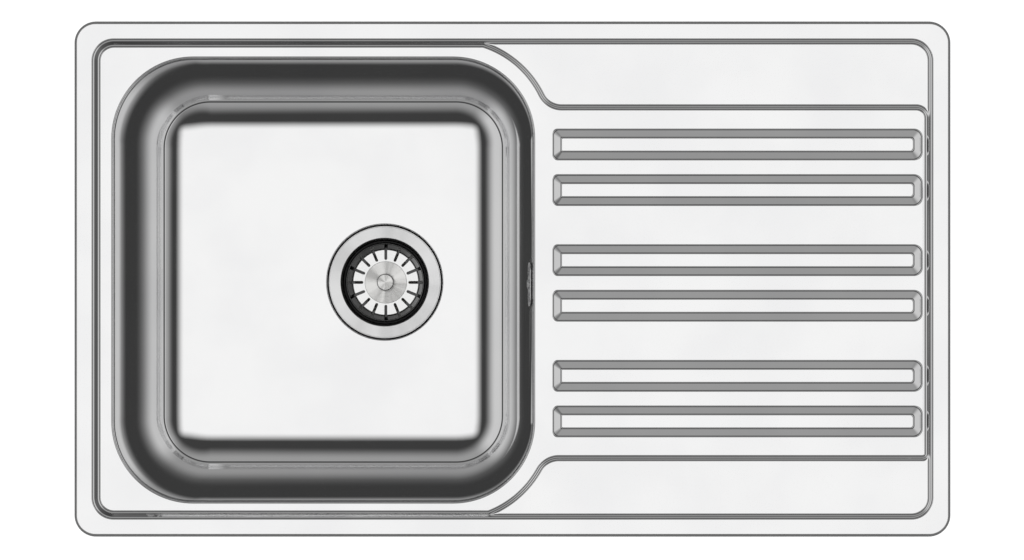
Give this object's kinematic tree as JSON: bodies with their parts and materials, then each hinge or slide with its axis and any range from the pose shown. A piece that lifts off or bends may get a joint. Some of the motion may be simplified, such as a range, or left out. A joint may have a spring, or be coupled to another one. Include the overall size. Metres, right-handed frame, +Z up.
{
  "type": "kitchen sink with drainboard",
  "caption": "Inset steel kitchen sink with a deep rounded bowl, basket strainer waste, overflow and a ribbed drainer, held in a worktop by swinging clips.",
  "frame": {"origin": "plan centre of the sink on the worktop's upper face, where the seal under the rim lands", "axes": "+X from the bowl towards the drainer along the long side, +Y towards the wall behind the sink, +Z up out of the worktop"},
  "size_m": [0.85, 0.5, 0.274],
  "materials": {
    "polished_steel": "bright polished pressed stainless steel",
    "brushed_steel": "turned and brushed stainless steel",
    "foam_seal": "closed-cell foam strip",
    "black_rubber": "smooth black rubber",
    "damping_pad": "textured bituminous damping pad",
    "zinc_steel": "zinc-plated steel",
    "white_plastic": "moulded white polypropylene",
    "brass": "plain brass"
  },
  "bodies": {
    "sink": {"drainboard_top": "polished_steel", "bowl": "polished_steel", "rim_seal": "foam_seal", "bowl_pad": "damping_pad", "drainer_pad": "damping_pad", "earth_tag": "brushed_steel", "earth_screw": "zinc_steel", "earth_nut": "zinc_steel", "clip_nuts": "zinc_steel", "strainer_flange": "brushed_steel", "flange_gasket": "black_rubber", "waste_gasket": "black_rubber", "waste_body": "white_plastic", "waste_funnel": "white_plastic", "inlet_spigot": "white_plastic", "clamp_nut": "brass", "clamp_screw": "brushed_steel", "overflow_grille": "brushed_steel", "overflow_gasket": "black_rubber", "overflow_housing": "white_plastic", "overflow_screw": "brushed_steel", "clip_hanger_1": "zinc_steel", "clip_hanger_2": "zinc_steel", "clip_hanger_3": "zinc_steel", "clip_hanger_4": "zinc_steel", "clip_hanger_5": "zinc_steel", "clip_hanger_6": "zinc_steel", "clip_hanger_7": "zinc_steel", "clip_hanger_8": "zinc_steel"},
    "basket": {"basket": "polished_steel", "basket_seal": "black_rubber", "basket_plate": "brushed_steel", "basket_knob": "brushed_steel", "basket_stem": "brushed_steel", "stem_ring": "brushed_steel"},
    "clip_screw_1": {"clip_screw_1": "zinc_steel"},
    "clip_claw_1": {"clip_claw_1": "zinc_steel"},
    "clip_screw_2": {"clip_screw_2": "zinc_steel"},
    "clip_claw_2": {"clip_claw_2": "zinc_steel"},
    "clip_screw_3": {"clip_screw_3": "zinc_steel"},
    "clip_claw_3": {"clip_claw_3": "zinc_steel"},
    "clip_screw_4": {"clip_screw_4": "zinc_steel"},
    "clip_claw_4": {"clip_claw_4": "zinc_steel"},
    "clip_screw_5": {"clip_screw_5": "zinc_steel"},
    "clip_claw_5": {"clip_claw_5": "zinc_steel"},
    "clip_screw_6": {"clip_screw_6": "zinc_steel"},
    "clip_claw_6": {"clip_claw_6": "zinc_steel"},
    "clip_screw_7": {"clip_screw_7": "zinc_steel"},
    "clip_claw_7": {"clip_claw_7": "zinc_steel"},
    "clip_screw_8": {"clip_screw_8": "zinc_steel"},
    "clip_claw_8": {"clip_claw_8": "zinc_steel"}
  },
  "joints": [
    {"name": "basket_lift", "type": "slide", "parent": "sink", "child": "basket", "axis": [0, 0, 1], "range_m": [0, 0.25]},
    {"name": "clip_1_tighten", "type": "slide", "parent": "sink", "child": "clip_screw_1", "axis": [0, 0, 1], "range_m": [0, 0.014]},
    {"name": "clip_1_swing", "type": "hinge", "parent": "clip_screw_1", "child": "clip_claw_1", "pos_m": [-0.3, 0.229, -0.046], "axis": [0, 0, 1], "range_deg": [0, 90]},
    {"name": "clip_2_tighten", "type": "slide", "parent": "sink", "child": "clip_screw_2", "axis": [0, 0, 1], "range_m": [0, 0.014]},
    {"name": "clip_2_swing", "type": "hinge", "parent": "clip_screw_2", "child": "clip_claw_2", "pos_m": [0.3, 0.229, -0.046], "axis": [0, 0, 1], "range_deg": [0, 90]},
    {"name": "clip_3_tighten", "type": "slide", "parent": "sink", "child": "clip_screw_3", "axis": [0, 0, 1], "range_m": [0, 0.014]},
    {"name": "clip_3_swing", "type": "hinge", "parent": "clip_screw_3", "child": "clip_claw_3", "pos_m": [0.404, 0.0523, -0.046], "axis": [0, 0, 1], "range_deg": [0, 90]},
    {"name": "clip_4_tighten", "type": "slide", "parent": "sink", "child": "clip_screw_4", "axis": [0, 0, 1], "range_m": [0, 0.014]},
    {"name": "clip_4_swing", "type": "hinge", "parent": "clip_screw_4", "child": "clip_claw_4", "pos_m": [0.404, -0.0599, -0.046], "axis": [0, 0, 1], "range_deg": [0, 90]},
    {"name": "clip_5_tighten", "type": "slide", "parent": "sink", "child": "clip_screw_5", "axis": [0, 0, 1], "range_m": [0, 0.014]},
    {"name": "clip_5_swing", "type": "hinge", "parent": "clip_screw_5", "child": "clip_claw_5", "pos_m": [0.3, -0.229, -0.046], "axis": [0, 0, 1], "range_deg": [0, 90]},
    {"name": "clip_6_tighten", "type": "slide", "parent": "sink", "child": "clip_screw_6", "axis": [0, 0, 1], "range_m": [0, 0.014]},
    {"name": "clip_6_swing", "type": "hinge", "parent": "clip_screw_6", "child": "clip_claw_6", "pos_m": [-0.3, -0.229, -0.046], "axis": [0, 0, 1], "range_deg": [0, 90]},
    {"name": "clip_7_tighten", "type": "slide", "parent": "sink", "child": "clip_screw_7", "axis": [0, 0, 1], "range_m": [0, 0.014]},
    {"name": "clip_7_swing", "type": "hinge", "parent": "clip_screw_7", "child": "clip_claw_7", "pos_m": [-0.404, -0.0599, -0.046], "axis": [0, 0, 1], "range_deg": [0, 90]},
    {"name": "clip_8_tighten", "type": "slide", "parent": "sink", "child": "clip_screw_8", "axis": [0, 0, 1], "range_m": [0, 0.014]},
    {"name": "clip_8_swing", "type": "hinge", "parent": "clip_screw_8", "child": "clip_claw_8", "pos_m": [-0.404, 0.0523, -0.046], "axis": [0, 0, 1], "range_deg": [0, 90]}
  ]
}
